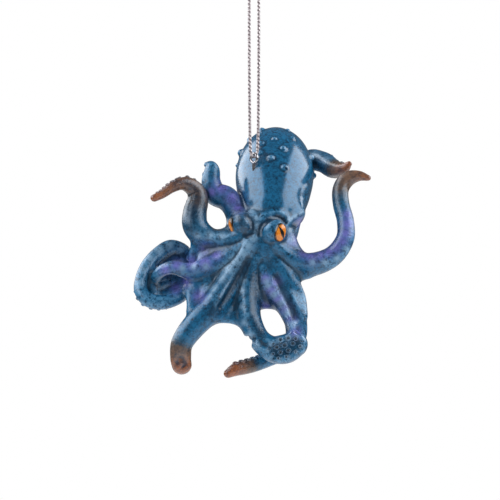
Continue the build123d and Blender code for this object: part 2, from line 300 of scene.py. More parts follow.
# Eight arms, root to tip: column, row, depth share, girth share. The sucker side turns from rootSide to
# tipSide. tip is where along the arm the brown paint starts and where it is full.
arms = {
    "right_raised_arm": {
        "spine": [
            (284, 260, -.03, 1.0), (308, 265, -.075, .92), (331, 257, -.105, .80), (344, 240, -.105, .71),
            (345, 222, -.045, .66), (341, 205, .04, .64), (340.5, 190, .10, .63), (347, 179.5, .125, .61),
            (358, 176, .105, .42), (368, 178, .08, .23)],
        "rootSide": (0, 1, -.3), "tipSide": (0, 1, .3), "tip": (.58, 1.15)},
    "rear_right_arm": {
        "spine": [
            (280, 246, .06, .80), (286.8, 236.1, 0.341, .80), (291.2, 220.9, 0.502, .80),
            (297.0, 200.8, 0.630, .80), (308.0, 161.5, 0.660, .80), (323, 160.5, .56, .82),
            (334, 168, .40, .74), (343, 169, .27, .48), (349.5, 163.5, .21, .22)],
        "rootSide": (-.2, 1, 0), "tipSide": (0, 1, .2), "tip": (.80, 1.02), "blend": 2.2},
    "left_raised_arm": {
        "spine": [
            (231, 247, .02, 1.0), (208, 239, 0, .94), (196, 227, -.02, .98), (195, 213, .02, .92),
            (198, 200, .04, .80), (195, 190, .04, .68), (184, 183.5, 0, .54), (173, 187, -.04, .44),
            (163, 194, -.065, .36), (155, 198, -.085, .32)],
        "rootSide": (0, 1, -.3), "tipSide": (-.6, -.25, 1), "tip": (.18, 1.2)},
    "rear_left_arm": {
        "spine": [
            (248, 230, .03, .74), (236.5, 210, .10, .84), (226.5, 198.5, .14, .94),
            (215, 193.5, .155, .88), (211, 181.5, .165, .74), (212, 171, .185, .60),
            (211, 165.5, .20, .38), (206.5, 164.5, .20, .22)],
        "rootSide": (0, 1, .2), "tipSide": (-.6, 1, 0), "tip": (2, 3)},
    "left_coiled_arm": {
        "spine": [
            (230, 263, -.04, .96), (207, 270.5, -.095, .80), (189, 271, -.125, .62),
            (173, 267.5, -.125, .52), (161, 272, -.085, .44), (154.5, 282, .02, .40),
            (157, 291.5, .085, .42), (168, 291, .125, .50), (179, 283, .17, .56), (186, 268, .21, .58),
            (184, 253.5, .20, .60), (171, 247.5, .145, .60), (158.5, 254.5, .085, .58),
            (148.5, 265, .03, .54), (142.5, 277, -.02, .50), (141.5, 290, -.075, .53),
            (149, 299.5, -.115, .56), (163, 302, -.125, .57), (178, 297.5, -.095, .53),
            (190, 288.5, -.03, .45)],
        "rootSide": (0, 1, -.3), "tipSide": (-.6, 1, -.6), "tip": (2, 3)},
    "left_front_arm": {
        "spine": [
            (240, 276, -.08, .94), (225, 294, -.17, .97), (210, 310, -.25, 1.0), (194, 326, -.28, .94),
            (183, 342, -.28, .84), (181.5, 356, -.27, .80), (182.5, 363.5, -.26, .76)],
        "rootSide": (0, 1, -.3), "tipSide": (.1, 1, -.4), "tip": (.72, 1.06)},
    "middle_front_arm": {
        "spine": [
            (252, 284, -.08, .82), (249, 306, -.18, .88), (251, 322, -.23, .86), (259, 338, -.28, .84),
            (271, 347.5, -.31, .98), (284, 348, -.325, 1.12), (294, 343, -.33, 1.0)],
        "rootSide": (0, 1, -.2), "tipSide": (-.1, -1, .15), "tip": (2, 3), "suckersTo": .6},
    "right_front_arm": {
        "spine": [
            (276, 280, -.08, 1.0), (289, 303, -.13, .94), (295, 320, -.145, .87), (295.5, 336, -.14, .80),
            (288, 349, -.13, .68), (271, 357, -.14, .60), (256, 363, -.18, .57), (245, 366, -.22, .56),
            (236, 368, -.25, .52), (228.5, 372, -.27, .36)],
        "rootSide": (0, 1, -.2), "tipSide": (-.5, -.3, 1), "tip": (.74, .97)},
}


def smoothLine(rows, perSpan=6):
    rows = np.array(rows, float)
    rows = np.vstack([2 * rows[0] - rows[1], rows, 2 * rows[-1] - rows[-2]])
    found = []
    for span in range(1, len(rows) - 2):
        before, start, end, after = rows[span - 1:span + 3]
        for step in range(perSpan):
            share = step / perSpan
            bend = (2 * before - 5 * start + 4 * end - after) * share ** 2
            twist = (3 * start - before - 3 * end + after) * share ** 3
            found.append((2 * start + (end - before) * share + bend + twist) / 2)
    found.append(rows[-2])
    return np.array(found)


for arm in arms.values():
    rows = smoothLine([(*place(*spot[:3]), spot[3] * figure["armRadius"]) for spot in arm["spine"]])
    arm["line"], arm["radius"] = rows[:, :3], np.maximum(rows[:, 3], figure["thinnest"])
    steps = np.linalg.norm(np.diff(arm["line"], axis=0), axis=1)
    arm["share"] = np.concatenate([[0], np.cumsum(steps)]) / steps.sum()
    arm["length"] = steps.sum()
    along = np.gradient(arm["line"], axis=0)
    arm["along"] = along / np.linalg.norm(along, axis=1)[:, None]
    turn = ease(arm["share"], *figure["sideTurn"])[:, None]
    side = unit(arm["rootSide"]) * (1 - turn) + unit(arm["tipSide"]) * turn
    side -= arm["along"] * (side * arm["along"]).sum(1)[:, None]
    arm["under"] = side / np.linalg.norm(side, axis=1)[:, None]
    arm["across"] = np.cross(arm["along"], arm["under"])

# The casting is one distance field on a grid, in mm, meshed as a single seamless skin
skin = {"cell": 0.4, "low": (-43.5, -28.0, -146.0), "high": (43.0, 32.5, -55.5),
        "hubBlend": 4.4, "farBlend": 0.6, "blendNear": 11.0, "blendFar": 25.0,
        "empty": 99.0, "rayDepths": (-24, 30, 0.2)}
cell = skin["cell"]
low = np.array(skin["low"])
counts = np.ceil((np.array(skin["high"]) - low) / cell).astype(int) + 1
axes = [(low[axis] + cell * np.arange(counts[axis])).astype(np.float32) for axis in range(3)]
gridX, gridY, gridZ = axes[0][:, None, None], axes[1][None, :, None], axes[2][None, None, :]


def emptyField():
    return np.full(counts, skin["empty"], np.float32)


def strokeField(points, radii, reach=5.2):
    found = emptyField()
    for start, end, startRadius, endRadius in zip(points[:-1], points[1:], radii[:-1], radii[1:]):
        top = max(startRadius, endRadius) + reach
        first = np.maximum(((np.minimum(start, end) - top - low) / cell).astype(int), 0)
        last = np.minimum(((np.maximum(start, end) + top - low) / cell).astype(int) + 2, counts)
        if (first >= last).any():
            continue
        cut = tuple(slice(one, two) for one, two in zip(first, last))
        run = (end - start).astype(np.float32)
        px = gridX[cut[0]] - np.float32(start[0])
        py = gridY[:, cut[1]] - np.float32(start[1])
        pz = gridZ[:, :, cut[2]] - np.float32(start[2])
        share = np.clip((px * run[0] + py * run[1] + pz * run[2]) / max(float(run @ run), 1e-6), 0, 1)
        away = np.sqrt((px - run[0] * share) ** 2 + (py - run[1] * share) ** 2 + (pz - run[2] * share) ** 2)
        away -= startRadius + (endRadius - startRadius) * share
        np.minimum(found[cut], away, out=found[cut])
    return found


def ballField(centre, radius):
    away = np.sqrt((gridX - centre[0]) ** 2 + (gridY - centre[1]) ** 2 + (gridZ - centre[2]) ** 2)
    return away - np.float32(radius)


def join(first, second, soft):
    share = np.clip(0.5 + 0.5 * (second - first) / soft, 0, 1)
    return second + (first - second) * share - soft * share * (1 - share)


def carve(first, second, soft):
    return -join(-first, second, soft)


# Body: a leaning egg of a mantle, the head, the hub of the arms, and two eye mounds.
# The table holds the mantle's outline: how far out, from where, to where and its step, in mm.
body = {
    "mantleLength": 46.0, "mantleWidth": 26.6, "lean": 46.0, "roll": 3.0, "neck": (272, 229, -.035),
    "girths": [(-.12, .10), (0, .40), (.12, .68), (.3, .87), (.43, .957), (.56, 1.0), (.7, .949),
               (.82, .812), (.91, .618), (.97, .389), (1.0, .0)],
    "head": (262, 243, 0, 9.2), "hub": (256, 262, -.02, 15.5, 7.25),
    "rightMound": (273.5, 231, -.16, 4.4), "leftMound": (243.5, 224, -.125, 4.1),
    "headJoin": 4.5, "hubJoin": 4.0, "moundJoin": 1.1, "table": (70, -60, 80, 0.4),
}


def mantleField():
    lean, roll = math.radians(body["lean"]), math.radians(body["roll"])
    axis = np.array([math.sin(roll) * math.cos(lean), math.sin(lean), math.cos(roll) * math.cos(lean)])
    neck = place(*body["neck"])
    width, length = body["mantleWidth"], body["mantleLength"]
    outline = smoothLine([(girth * width / 2, share * length) for share, girth in body["girths"]], 8)
    outline[:, 0] = np.maximum(outline[:, 0], 0)
    px, py, pz = gridX - neck[0], gridY - neck[1], gridZ - neck[2]
    rise = px * axis[0] + py * axis[1] + pz * axis[2]
    out = np.sqrt(np.maximum(px ** 2 + py ** 2 + pz ** 2 - rise ** 2, 0))
    reach, bottom, top, tableStep = body["table"]
    tableOut, tableRise = np.arange(0, reach, tableStep), np.arange(bottom, top, tableStep)
    spots = np.stack(np.meshgrid(tableOut, tableRise, indexing="ij"), -1)
    away = np.full(spots.shape[:2], 999.0)
    for start, end in zip(outline[:-1], outline[1:]):
        away = np.minimum(away, nearest(spots, start, end)[1])
    girth = np.interp(tableRise, outline[:, 1], outline[:, 0], left=-1, right=-1)
    away = np.where(tableOut[:, None] < girth[None, :], -away, away).astype(np.float32)
    column = np.clip(out / tableStep, 0, len(tableOut) - 1.01)
    row = np.clip((rise - bottom) / tableStep, 0, len(tableRise) - 1.01)
    i, j = column.astype(np.int32), row.astype(np.int32)
    u, v = column - i, row - j
    return (away[i, j] * (1 - u) * (1 - v) + away[i + 1, j] * u * (1 - v)
            + away[i, j + 1] * (1 - u) * v + away[i + 1, j + 1] * u * v).astype(np.float32)


def hubField():
    column, row, depth, radius, half = body["hub"]
    centre = place(column, row, depth)
    out = np.maximum(np.sqrt((gridX - centre[0]) ** 2 + (gridZ - centre[2]) ** 2) - (radius - half), 0)
    return np.sqrt(out ** 2 + (gridY - centre[1]) ** 2) - np.float32(half)


def addBall(values, ball, soft):
    return join(values, ballField(place(*ball[:3]), ball[3]), soft)


mantle = mantleField()
core = addBall(mantle, body["head"], body["headJoin"])
core = join(core, hubField(), body["hubJoin"])
for mound in (body["rightMound"], body["leftMound"]):
    core = addBall(core, mound, body["moundJoin"])
print("body field made")

hubCentre = place(*body["hub"][:3])
farShare = ease(ballField(hubCentre, 0), skin["blendNear"], skin["blendFar"]).astype(np.float32)
field = core.copy()
for arm in arms.values():
    softness = skin["hubBlend"] + (arm.get("blend", skin["farBlend"]) - skin["hubBlend"]) * farShare
    field = join(field, strokeField(arm["line"], arm["radius"]), softness)
print("arms joined")


def sampleGrid(values, points):
    spot = np.clip((points - low) / cell, 0, np.array(counts) - 1.01)
    base = spot.astype(int)
    part = spot - base
    total = np.zeros(len(points))
    for corner in np.ndindex(2, 2, 2):
        weight = np.prod(np.where(np.array(corner) == 1, part, 1 - part), axis=1)
        total += weight * values[tuple((base + corner).T)]
    return total


def slopeAt(values, points, step=0.3):
    slope = np.zeros_like(points)
    for axis in range(3):
        shift = np.zeros(3)
        shift[axis] = step
        slope[:, axis] = sampleGrid(values, points + shift) - sampleGrid(values, points - shift)
    return slope / (2 * step)


def frontHit(values, column, row):
    depths = np.arange(*skin["rayDepths"])
    start = place(column, row, 0)
    ray = np.stack([np.full_like(depths, start[0]), depths, np.full_like(depths, start[2])], 1)
    heights = sampleGrid(values, ray)
    return ray[np.argmax(heights < 0) if (heights < 0).any() else np.argmin(heights)]


def onSkin(column, row, sink):
    return frontHit(field, column, row) + np.array([0, sink, 0])


def strokesOnSkin(lines, sink):
    found = emptyField()
    for rows in lines:
        line = smoothLine([(*onSkin(column, row, sink * radius), radius) for column, row, radius in rows])
        found = np.minimum(found, strokeField(line[:, :3], np.maximum(line[:, 3], relief["thinnest"])))
    return found


relief = {"webRadius": 1.2, "webSoft": 2.8, "coilSoft": 1.0, "lobeSoft": 3.0, "ridgeSink": 0.45,
          "ridgeSoft": 2.0, "grooveSink": -0.62, "grooveSoft": 1.4, "thinnest": 0.3}


# Webs between neighbouring arms: lines of column, row, depth, column, row, depth
webs = [
    (232, 296, -.16, 248, 300, -.15), (226, 304, -.19, 249, 308, -.18), (220, 311, -.22, 249, 315, -.20),
    (214, 317, -.24, 250, 322, -.22), (262, 298, -.13, 282, 300, -.12), (262, 304, -.13, 283, 305, -.12),
    (202, 276, -.09, 208, 304, -.20), (195, 278, -.09, 200, 312, -.22), (190, 285, -.09, 191, 310, -.23),
    (292, 279, -.08, 306, 274, -.08), (222, 240, .0, 214, 262, -.06), (214, 240, 0, 206, 262, -.07),
    (206, 238, .02, 201, 262, -.05), (199, 236, .03, 196, 256, .02), (214, 274, -.10, 216, 300, -.18),
    (197, 246, .03, 193, 264, .02), (208, 276, -.10, 210, 300, -.18), (201, 250, .0, 190, 258, .08),
    (231, 206, .12, 231, 229, .06),
]
# Inside the coil the turns lie close, so the casting is filled between them
coilFill = [([(160, 263, .12), (170, 258, .16), (180, 258, .19)], 2.3),
            ([(160, 283, .09), (168, 281, .13), (177, 276, .17)], 2.6),
            ([(151, 270, .03), (149, 280, .0), (153, 291, -.01)], 1.7)]
for web in webs:
    ends = np.array([place(*web[:3]), place(*web[3:])])
    field = join(field, strokeField(ends, [relief["webRadius"]] * 2), relief["webSoft"])
for spots, radius in coilFill:
    line = smoothLine([place(*spot) for spot in spots])
    field = join(field, strokeField(line, np.full(len(line), radius)), relief["coilSoft"])

# Ridges that run up the arms to the head, brow folds and the neck's lobe: column, row and radius, sunk in
lobe = (293, 213, .06, 3.7)
field = addBall(field, lobe, relief["lobeSoft"])
ridges = [
    [(253, 232, 1.0), (248, 248, 2.4), (239, 266, 3.3), (228, 283, 3.5), (216, 299, 3.0)],
    [(243, 246, 0.9), (230, 256, 2.1), (216, 263, 2.5), (200, 267, 2.0)],
    [(239, 236, 0.9), (226, 238.5, 1.9), (208, 236, 2.1)],
    [(255, 258, 0.7), (250, 275, 1.7), (247, 294, 2.2), (248, 314, 1.9)],
    [(262, 268, 0.5), (268, 285, 1.5), (279, 302, 1.9), (289, 318, 1.8), (293, 332, 1.1)],
    [(277, 262, 0.7), (291, 281, 2.0), (300, 297, 1.8), (303, 315, 1.2)],
    [(277, 246, 0.7), (291, 257, 1.9), (308, 262, 2.3), (324, 258, 1.9)],
    [(255, 236, 0.4), (257, 227, 0.7), (263, 218.5, 0.8), (272, 214.5, 0.8), (281, 214.5, 0.7),
     (288, 219, 0.5)],
    [(250, 213, 0.4), (254, 217.5, 0.7), (256, 223, 0.8), (256.5, 229, 0.6), (254, 236, 0.4)],
    [(286, 223, 0.6), (293, 218.5, 1.2), (300, 214, 1.3)],
]
field = join(field, strokesOnSkin(ridges, relief["ridgeSink"]), relief["ridgeSoft"])

# Grooves beside the ridges and round the eye mounds, pressed in from the front: column, row and radius
grooves = [
    [(248, 258, 0.7), (242, 271, 1.0), (234, 286, 1.1), (222, 306, 0.9)],
    [(276, 276, 0.9), (287, 298, 1.5), (294, 316, 1.4), (297, 330, 0.9)],
    [(258, 234, 0.7), (260, 226, 1.1), (266, 221, 1.2), (272.4, 218, 1.2), (279, 217.5, 1.0),
     (285.5, 222, 0.6)],
    [(245.5, 214.5, 0.6), (249, 217, 0.9), (252, 221.5, 1.1), (253.3, 228.3, 1.1), (251.4, 233.4, 0.9),
     (247, 236, 0.6)],
    [(177.5, 362, 0.6), (180, 357.5, 0.8), (184.5, 358, 0.8), (187, 362.5, 0.7), (184, 366, 0.6)],
]
field = carve(field, strokesOnSkin(grooves, relief["grooveSink"]), relief["grooveSoft"])

# Mouth in the middle of the arms, on the back: a puckered ring and a pit
mouth = {"ring": 2.7, "lip": 1.0, "even": 0.9, "pucker": 0.15, "pit": 1.7, "soft": 0.8, "steps": 20}
mouthSpot = hubCentre + np.array([0, body["hub"][4], 0])
turns = np.linspace(0, 2 * math.pi, mouth["steps"] + 1)
ring = mouthSpot + mouth["ring"] * np.stack([np.cos(turns), np.zeros_like(turns), np.sin(turns)], 1)
lips = mouth["lip"] * (mouth["even"] + mouth["pucker"] * np.cos(turns * mouth["steps"] / 2))
field = join(field, strokeField(ring, lips), mouth["soft"])
field = carve(field, ballField(mouthSpot, mouth["pit"]), mouth["soft"])

# The arms' undersides are hollowed a little where the suckers sit
hollow = {"from": 0.24, "offset": 1.3, "radius": 0.5, "soft": 0.9}
for arm in arms.values():
    keep = arm["share"] > hollow["from"]
    line = arm["line"][keep] + arm["under"][keep] * (arm["radius"][keep] * hollow["offset"])[:, None]
    field = carve(field, strokeField(line, arm["radius"][keep] * hollow["radius"]), hollow["soft"])

# The middle front arm's open end is a shallow dish with a rim, facing the viewer
dish = {"line": [(276, 350), (285, 347), (294, 342.5)], "radius": 5.5, "deep": 1.5, "soft": 0.5}
line = smoothLine([onSkin(column, row, dish["deep"] - dish["radius"]) for column, row in dish["line"]])
field = carve(field, strokeField(line, np.full(len(line), dish["radius"])), dish["soft"])

# Warts on the mantle: the ones in the photograph, then seeded ones round the back
warts = {
    "front": [(274.5, 138.6), (283.4, 148.4), (261, 144), (260, 153), (284.3, 168), (293, 137.7), (271, 158),
              (241, 152), (249.5, 138.6), (262, 129.5), (288, 129.5)],
    "radius": 1.0, "least": 0.75, "spread": 0.5, "soft": 0.8, "reach": 3.0, "slides": 4,
    "backCount": 26, "seed": 7, "leastBack": 0.35, "middle": (4.0, 16.0, 15.0), "rays": (2, 26, 0.2),
    "lift": 1.5, "clear": 0.8,
}
wartSpots = []
for column, row in warts["front"]:
    spot = frontHit(mantle, column, row)[None]
    for turn in range(warts["slides"]):  # a wart at the mantle's edge slides back onto its skin
        spot = spot - sampleGrid(mantle, spot)[:, None] * slopeAt(mantle, spot)
    wartSpots.append(spot[0])
dice = np.random.default_rng(warts["seed"])
centre = place(*body["neck"]) + np.array(warts["middle"])
while len(wartSpots) < len(warts["front"]) + warts["backCount"]:
    heading = unit(dice.normal(size=3))
    if heading[1] < warts["leastBack"]:
        continue
    ray = centre + np.arange(*warts["rays"])[:, None] * heading
    heights = sampleGrid(mantle, ray)
    spot = ray[np.argmax(heights > 0)]
    if (heights > 0).any() and sampleGrid(field, spot[None] + heading * warts["lift"])[0] > warts["clear"]:
        wartSpots.append(spot)
wartField = emptyField()
for index, spot in enumerate(wartSpots):
    size = warts["radius"] * (warts["least"] + warts["spread"] * ((index * 7) % 5) / 4)
    ends = np.array([spot, spot + 0.01])
    wartField = np.minimum(wartField, strokeField(ends, [size, size], warts["reach"]))
field = join(field, wartField, warts["soft"])
print("webs, folds and warts made", field.shape)


def surfaceNet(values):
    inside = values < 0
    edges = [slice(None, -1), slice(1, None)]
    total = sum(inside[edges[a], edges[b], edges[c]].astype(np.int8) for a, b, c in np.ndindex(2, 2, 2))
    active = (total > 0) & (total < 8)
    spots = np.argwhere(active)
    number = np.full(active.shape, -1, np.int64)
    number[active] = np.arange(len(spots))
    sums, hits = np.zeros((len(spots), 3)), np.zeros(len(spots))
    for axis in range(3):
        others = [other for other in range(3) if other != axis]
        for one, two in np.ndindex(2, 2):
            corner = np.zeros(3, int)
            corner[others[0]], corner[others[1]] = one, two
            far = corner.copy()
            far[axis] = 1
            first, second = values[tuple((spots + corner).T)], values[tuple((spots + far).T)]
            crossing = (first < 0) != (second < 0)
            share = np.where(crossing, first / np.where(first == second, 1, first - second), 0)
            sums += crossing[:, None] * (corner + share[:, None] * (far - corner))
            hits += crossing
    points = low + (spots + sums / hits[:, None]) * cell
    faces = []
    for axis in range(3):
        one, two = (axis + 1) % 3, (axis + 2) % 3
        front = [slice(None)] * 3
        back = [slice(None)] * 3
        front[axis], back[axis] = slice(None, -1), slice(1, None)
        change = inside[tuple(front)] != inside[tuple(back)]
        at = np.argwhere(change)
        at = at[(at[:, one] > 0) & (at[:, two] > 0)]
        at = at[(at[:, one] < active.shape[one]) & (at[:, two] < active.shape[two])]
        stepOne, stepTwo = np.zeros(3, int), np.zeros(3, int)
        stepOne[one], stepTwo[two] = 1, 1
        ring = [number[tuple((at - stepOne - stepTwo).T)], number[tuple((at - stepTwo).T)],
                number[tuple(at.T)], number[tuple((at - stepOne).T)]]
        quads = np.stack(ring, 1)
        flip = ~inside[tuple(at.T)]
        quads[flip] = quads[flip][:, ::-1]
        faces.append(quads)
    return points, np.vstack(faces)


# Each turn draws the points together and sets them back on the surface, in mm
smoothing = {"turns": 2, "pull": 0.55, "leastSlope": 0.2, "furthest": 0.3}


def settle(points, quads, values):
    edges = np.vstack([quads[:, [0, 1]], quads[:, [1, 2]], quads[:, [2, 3]], quads[:, [3, 0]]])
    edges = np.vstack([edges, edges[:, ::-1]])
    for turn in range(smoothing["turns"]):
        sums, hits = np.zeros_like(points), np.zeros(len(points))
        np.add.at(sums, edges[:, 0], points[edges[:, 1]])
        np.add.at(hits, edges[:, 0], 1)
        points = points * (1 - smoothing["pull"]) + smoothing["pull"] * sums / hits[:, None]
        slope = slopeAt(values, points)
        away = sampleGrid(values, points) / np.maximum((slope ** 2).sum(1), smoothing["leastSlope"])
        points = points - np.clip(away, -smoothing["furthest"], smoothing["furthest"])[:, None] * slope
    return points


skinPoints, skinQuads = surfaceNet(field)
skinPoints = settle(skinPoints, skinQuads, field)
print("skin meshed", len(skinPoints), "points", len(skinQuads), "quads")


# Paint layers of the skin, one value for each point: brown tips, violet, pale dry brush with painted
# highlights, glaze that is mostly painted highlight, dark wash with painted shade in creases, ink that is
# painted shade, and where it is matte.
# Spots are column, row and reach. Ink lines of painted shade are spots, a reach and a strength.
brush = {
    "violetSpots": [
        (304, 253, 7), (312, 256, 9), (320, 254, 8), (328, 251, 8), (335, 247, 8), (341, 241, 8),
        (345, 233, 8), (347, 224, 8), (347, 215, 6), (222, 187, 10), (233, 198, 10), (238, 208, 8),
        (205, 262, 9), (192, 263, 9), (178, 264, 8), (166, 270, 7), (206, 250, 8), (216, 254, 8),
        (265, 279, 6), (271, 290, 8), (278, 299, 8), (285, 308, 8), (291, 318, 7), (295, 331, 7),
        (266, 305, 6), (276, 282, 6), (300, 222, 6), (293, 241, 7), (176, 288, 7), (186, 282, 7),
        (200, 296, 8), (212, 192, 6)],
    # pale spots: dry brush and painted highlights
    "dryBrushAndHighlightSpots": [
        (257, 216, 6), (255, 226, 5), (251, 235, 6), (246, 243, 6), (240, 251, 7), (233, 260, 7),
        (226, 268, 7), (218, 277, 6), (210, 286, 6), (226, 236, 6), (214, 237, 6), (202, 235, 6),
        (243, 282, 5), (242, 298, 5), (243, 314, 5), (303, 300, 6), (305, 315, 6), (304, 330, 6),
        (150, 262, 8), (143, 279, 8), (159, 251, 8), (171, 246, 9), (181, 249, 7), (150, 300, 8),
        (163, 303, 7), (330, 264, 7), (345, 253, 7), (352, 238, 6), (318, 157, 7), (328, 162, 7),
        (284, 295, 5), (290, 310, 5)],
    # glaze spots: mostly painted highlights, some pale lilac paint on the ridges
    "glazeAndHighlightSpots": [
        (252, 211, 6), (256, 218, 5), (257, 225, 3.5), (256.5, 231, 3.5), (253, 239, 5), (248, 246, 7),
        (242, 253, 8), (236, 261, 8), (229, 269, 7), (222, 278, 6), (214, 287, 5), (290, 219.5, 4),
        (296, 216.5, 4), (301, 214, 3.5), (289, 230, 3), (291, 240, 4.5), (222, 236, 5), (210, 235, 5),
        (198, 236, 4), (243.5, 280, 3.5), (242.5, 290, 4), (242, 306, 4), (266, 281, 4), (268, 285, 4.5),
        (274, 294, 5), (281, 303, 5.5), (287, 312, 5.5), (292, 323, 5), (316, 154, 5), (326, 160, 5),
        (334, 168, 4), (244, 322, 4), (250, 334, 4), (257, 344, 4), (267, 349, 2.5), (271, 355, 2.5),
        (279, 358, 2.5), (288, 356, 2.5), (296, 351, 2.5), (301, 345, 2.5), (270, 343, 2.5),
        (278, 338, 2.5), (287, 335.5, 2.5), (296, 335, 2.5), (183, 268, 4), (194, 267, 4), (206, 266, 4),
        (312, 262, 4), (324, 262, 4), (336, 258, 4), (346, 249, 4), (150, 258, 5), (159, 250, 5),
        (170, 246, 5), (181, 248, 5), (144, 270, 4), (142, 283, 4)],
    # ink lines: painted shade along the creases and on the dark sides of the arms
    "paintedShadeLines": [
        ([(257, 232), (259.6, 225.7), (266, 221), (272.4, 218), (279, 217.5), (285.5, 222.5)], 2.3, .9),
        ([(246, 214), (250, 218.5), (252.5, 223), (253.3, 228.3), (251.4, 233.4), (246.5, 236.2)], 2.7, .9),
        ([(240, 219), (246, 229)], 7, .85),
        ([(247, 264), (240, 275), (232, 287), (222, 301), (212, 313)], 6, .85),
        ([(253, 276), (254, 285), (253, 300), (254, 316), (260, 332)], 5, .9),
        ([(258, 278), (259, 300), (261, 314)], 3, .7), ([(263, 296), (276, 306)], 4, .7),
        ([(279, 279), (290.5, 298), (297, 316)], 2.5, .6), ([(165, 281), (178, 277)], 6, .6),
        ([(165, 261), (182, 255)], 4, .6), ([(189, 228), (194, 212), (199, 198)], 7, .65),
        ([(197, 193), (192, 186), (184, 181), (174, 184)], 4, .6),
        ([(179, 364), (183, 360), (185.5, 364)], 1.8, .5), ([(275, 350), (284, 347), (294, 342)], 6, .2),
        ([(230, 245), (215, 249), (203, 250)], 4, .6),
        ([(302, 250), (318, 252), (333, 245), (339, 232), (339, 215), (336, 200)], 3, .5),
        ([(283, 196), (271, 160)], 9, .25)],
    "violet": 0.85, "dryBrushAndHighlight": 0.75, "glazeAndHighlight": 0.8, "pixel": 0.339, "dab": 0.8, "dryBrushAndHighlightBend": (0.28, 0.4),
    "washAndShadeBend": (0.02, 0.35), "matteFrom": (0.3, 3.0), "paintedShadeTo": (2.0, 8.0),
}


def paintLayers(points, values):
    best = np.full(len(points), skin["empty"])
    tip = np.zeros(len(points))
    for arm in arms.values():
        start, full = arm["tip"]
        for index in range(len(arm["line"]) - 1):
            along, away = nearest(points, arm["line"][index], arm["line"][index + 1])
            away -= arm["radius"][index]
            nearer = away < best
            best[nearer] = away[nearer]
            share = arm["share"][index] + along[nearer] * (arm["share"][index + 1] - arm["share"][index])
            tip[nearer] = np.clip((share - start) / (full - start), 0, 1)
    tip[sampleGrid(core, points) < best] = 0
    flat = points[:, [0, 2]]

    def dabs(name):
        found = np.zeros(len(points))
        for column, row, reach in brush[name + "Spots"]:
            away = ((flat - place(column, row, 0)[[0, 2]]) ** 2).sum(1)
            found = np.maximum(found, np.exp(-away / (reach * brush["pixel"] * brush["dab"]) ** 2))
        return found

    # Convex skin is made paler (dry brush and painted highlight), hollow skin darker (dark wash and painted
    # shade in creases)
    bend = -6 * sampleGrid(values, points)
    for shift in np.vstack([np.eye(3), -np.eye(3)]):
        bend += sampleGrid(values, points + shift)
    highlightStart, highlightRun = brush["dryBrushAndHighlightBend"]
    washShadeStart, washShadeRun = brush["washAndShadeBend"]
    dryBrushAndHighlight = np.clip(np.clip((bend - highlightStart) / highlightRun, 0, 1) + dabs("dryBrushAndHighlight"), 0, 1) * brush["dryBrushAndHighlight"]
    # Ink is painted shade along the creases and dark sides, laid on the front only
    paintedShade = np.zeros(len(points))
    for spots, reach, strength in brush["paintedShadeLines"]:
        line = np.array([place(column, row, 0)[[0, 2]] for column, row in spots])
        for begin, finish in zip(line[:-1], line[1:]):
            away = nearest(flat, begin, finish)[1]
            paintedShade = np.maximum(paintedShade, strength * np.exp(-(away / (reach * brush["pixel"])) ** 2))
    paintedShade *= 1 - ease(points[:, 1], *brush["paintedShadeTo"])
    return {"tip": tip, "dryBrushAndHighlight": dryBrushAndHighlight, "violet": dabs("violet") * brush["violet"], "paintedShade": paintedShade,
            "glazeAndHighlight": dabs("glazeAndHighlight") * brush["glazeAndHighlight"], "washAndShade": np.clip((-bend - washShadeStart) / washShadeRun, 0, 1),
            "matte": ease(sampleGrid(mantle, points), *brush["matteFrom"])}


def setLayers(piece, layers):
    for name, values in layers.items():
        kind, key = ("FLOAT", "value") if np.ndim(values) == 1 else ("FLOAT_VECTOR", "vector")
        data = piece.data.attributes.new(name, kind, "POINT").data
        data.foreach_set(key, np.asarray(values, np.float32).ravel())


def meshFrom(name, points, faces, material, smooth=True):
    mesh = bpy.data.meshes.new(name)
    mesh.from_pydata(np.asarray(points).tolist(), [], faces)
    mesh.polygons.foreach_set("use_smooth", [smooth] * len(mesh.polygons))
    mesh.materials.append(material)
    mesh.update()
    return addObject(name, mesh)


octopusSkin = meshFrom("octopus_skin", skinPoints * metre, skinQuads.tolist(), skinMaterial)
setLayers(octopusSkin, paintLayers(skinPoints, field))
print("skin painted")


# Suckers: two rows under each arm, set by a node tree that turns one cup to each point's aim
suckers = {
    "from": 0.26, "to": 0.97, "spread": 26.0, "size": 0.34, "pitch": 0.92, "sides": 8, "faceScale": 1.25,
    "openFace": [
        (273, 342, 0.6), (280, 338.5, 0.8), (287.5, 336.5, 0.8), (295, 337, 0.75), (301, 339.5, 0.55),
        (269, 347, 0.6), (276.5, 345.5, 0.85), (284, 343.5, 0.95), (292, 342, 0.85), (299.5, 345, 0.6),
        (272.5, 352.5, 0.6), (280, 351, 0.8), (288, 349, 0.85), (295, 350.5, 0.6), (278, 357, 0.55),
        (286, 355.5, 0.65)],
    "rays": (0.3, 1.5, 0.02), "lift": 1.2, "clear": 0.5, "closest": 1.0, "washAndShadeShare": 0.2,
    "profile": [(1.0, -0.35), (1.0, 0.3), (0.72, 0.52), (0.42, 0.22)], "floor": 0.12, "wellRadius": 0.5,
}


